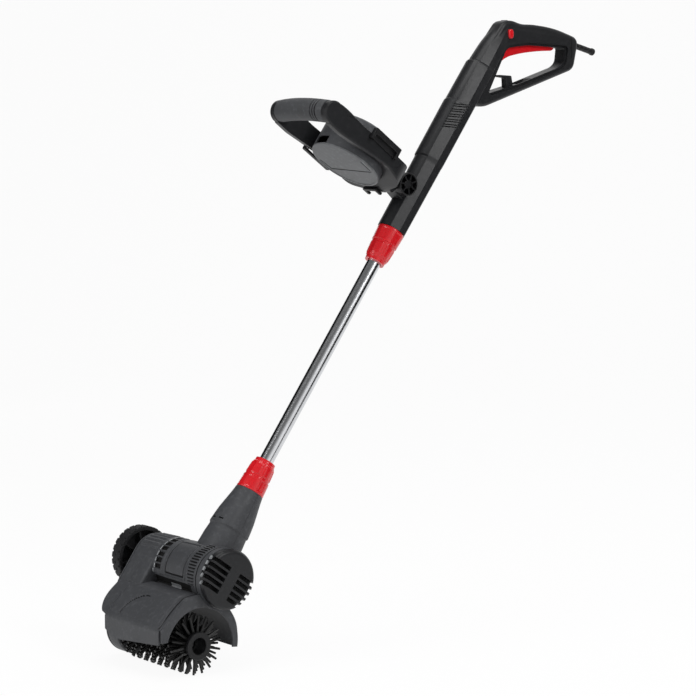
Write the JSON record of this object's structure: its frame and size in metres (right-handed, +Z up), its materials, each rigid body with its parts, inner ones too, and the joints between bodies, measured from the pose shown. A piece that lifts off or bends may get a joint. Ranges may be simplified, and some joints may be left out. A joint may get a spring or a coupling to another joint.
{
  "type": "electric weed brush",
  "caption": "Long handled electric brush for joints between slabs: rear loop grip, tilting front handle, telescopic tube, motor head with a bristle roller under a guard and a guide wheel.",
  "frame": {"origin": "middle of the rear grip", "axes": "+Z up in the working posture, -Y towards the ground ahead, +X towards the free end of the roller; the shaft leans back 36 degrees"},
  "size_m": [0.2946, 1.0277, 1.088],
  "materials": {
    "charcoal": "fine matt moulded",
    "dark": "matt moulded",
    "black": "matt",
    "red": "gloss moulded",
    "grey": "matt moulded",
    "soft": "fine grained",
    "tube": "polished",
    "steel": "machined",
    "copper": "wound wire",
    "brass": "machined"
  },
  "bodies": {
    "upper_unit": {"housing_left": "charcoal", "housing_right": "charcoal", "trigger_pin": "steel", "trigger_spring": "steel", "switch_block": "black", "cable_clamp": "black", "cord_sleeve": "black", "cord_hook": "dark", "tube_collet": "grey"},
    "trigger_lever": {"trigger": "red"},
    "plunger": {"switch_plunger": "grey"},
    "button": {"lock_button": "red"},
    "front_handle": {"front_handle_frame": "charcoal", "front_grip": "soft", "pivot_bolt": "steel", "pivot_nut": "steel", "storage_cup": "dark", "bracket_right": "black", "bracket_left": "black", "bracket_root": "black"},
    "knob": {"pivot_knob": "black"},
    "lid": {"storage_lid": "grey"},
    "collar_upper": {"upper_collar": "red"},
    "lower_unit": {"telescopic_tube": "tube", "tube_end_bush": "black", "head_front_shell": "charcoal", "head_back_shell": "charcoal", "vent_cap": "dark", "gear_cover": "charcoal", "gear_plate": "steel", "stator_core": "steel", "field_coil_front": "copper", "field_coil_back": "copper", "carbon_bridge": "black", "carbon_block_upper": "black", "carbon_block_lower": "black", "rotor_bearing_left": "steel", "rotor_bearing_right": "steel", "idler_axle": "steel", "spindle_bearing_left": "steel", "spindle_bearing_right": "steel", "brush_guard": "charcoal", "wheel_axle": "steel"},
    "collar_lower": {"lower_collar": "red"},
    "brush": {"roller_core": "black", "roller_bolt": "steel", "brush_spindle": "steel", "output_gear": "brass", "bristle_band_1": "black", "bristle_band_2": "black", "bristle_band_3": "black", "bristle_band_4": "black"},
    "idler": {"idler_gear": "steel"},
    "rotor": {"rotor_shaft": "steel", "rotor_core": "steel", "commutator": "copper", "cooling_fan": "black"},
    "wheel": {"guide_wheel": "black"}
  },
  "joints": [
    {"name": "trigger_squeeze", "type": "hinge", "parent": "upper_unit", "child": "trigger_lever", "pos_m": [0, 0.031, -0.0205], "axis": [-1, 0, 0], "range_deg": [0, 4], "stiffness_Nm_per_rad": 1.2, "springref_deg": -11.46, "deforming": ["trigger_spring"]},
    {"name": "plunger_press", "type": "slide", "parent": "upper_unit", "child": "plunger", "axis": [0, 0, 1], "range_m": [0, 0.003]},
    {"name": "lock_press", "type": "slide", "parent": "upper_unit", "child": "button", "axis": [-1, 0, 0], "range_m": [0, 0.003], "stiffness_N_per_m": 400, "springref_m": -0.004},
    {"name": "handle_tilt", "type": "hinge", "parent": "upper_unit", "child": "front_handle", "pos_m": [0, -0.34727, -0.26323], "axis": [1, 0, 0], "range_deg": [-30, 30]},
    {"name": "knob_turn", "type": "hinge", "parent": "front_handle", "child": "knob", "pos_m": [0, -0.34727, -0.26323], "axis": [1, 0, 0], "range_deg": [-170, 170]},
    {"name": "lid_twist", "type": "hinge", "parent": "front_handle", "child": "lid", "pos_m": [0, -0.43464, -0.19975], "axis": [0, 0.5878, 0.809], "range_deg": [0, 30]},
    {"name": "upper_collar_twist", "type": "hinge", "parent": "upper_unit", "child": "collar_upper", "pos_m": [0, -0.3706, -0.3736], "axis": [0, 0.5878, 0.809], "range_deg": [0, 90]},
    {"name": "telescope", "type": "slide", "parent": "upper_unit", "child": "lower_unit", "axis": [0, 0.5878, 0.809], "range_m": [0, 0.18]},
    {"name": "lower_collar_twist", "type": "hinge", "parent": "lower_unit", "child": "collar_lower", "pos_m": [0, -0.64686, -0.75384], "axis": [0, 0.5878, 0.809], "range_deg": [0, 90]},
    {"name": "brush_spin", "type": "hinge", "parent": "lower_unit", "child": "brush", "pos_m": [0, -0.8109, -1.01192], "axis": [1, 0, 0], "continuous": true},
    {"name": "idler_spin", "type": "hinge", "parent": "lower_unit", "child": "idler", "pos_m": [0, -0.78329, -0.95725], "axis": [1, 0, 0], "continuous": true},
    {"name": "rotor_spin", "type": "hinge", "parent": "lower_unit", "child": "rotor", "pos_m": [0, -0.75736, -0.90593], "axis": [1, 0, 0], "continuous": true},
    {"name": "wheel_spin", "type": "hinge", "parent": "lower_unit", "child": "wheel", "pos_m": [0, -0.75736, -0.90593], "axis": [1, 0, 0], "continuous": true}
  ],
  "couplings": [
    {"joint": "plunger_press", "follows": "trigger_squeeze", "m_per_rad": 0.037},
    {"joint": "idler_spin", "follows": "brush_spin", "ratio": -1.8824},
    {"joint": "rotor_spin", "follows": "brush_spin", "ratio": 8.9412}
  ]
}
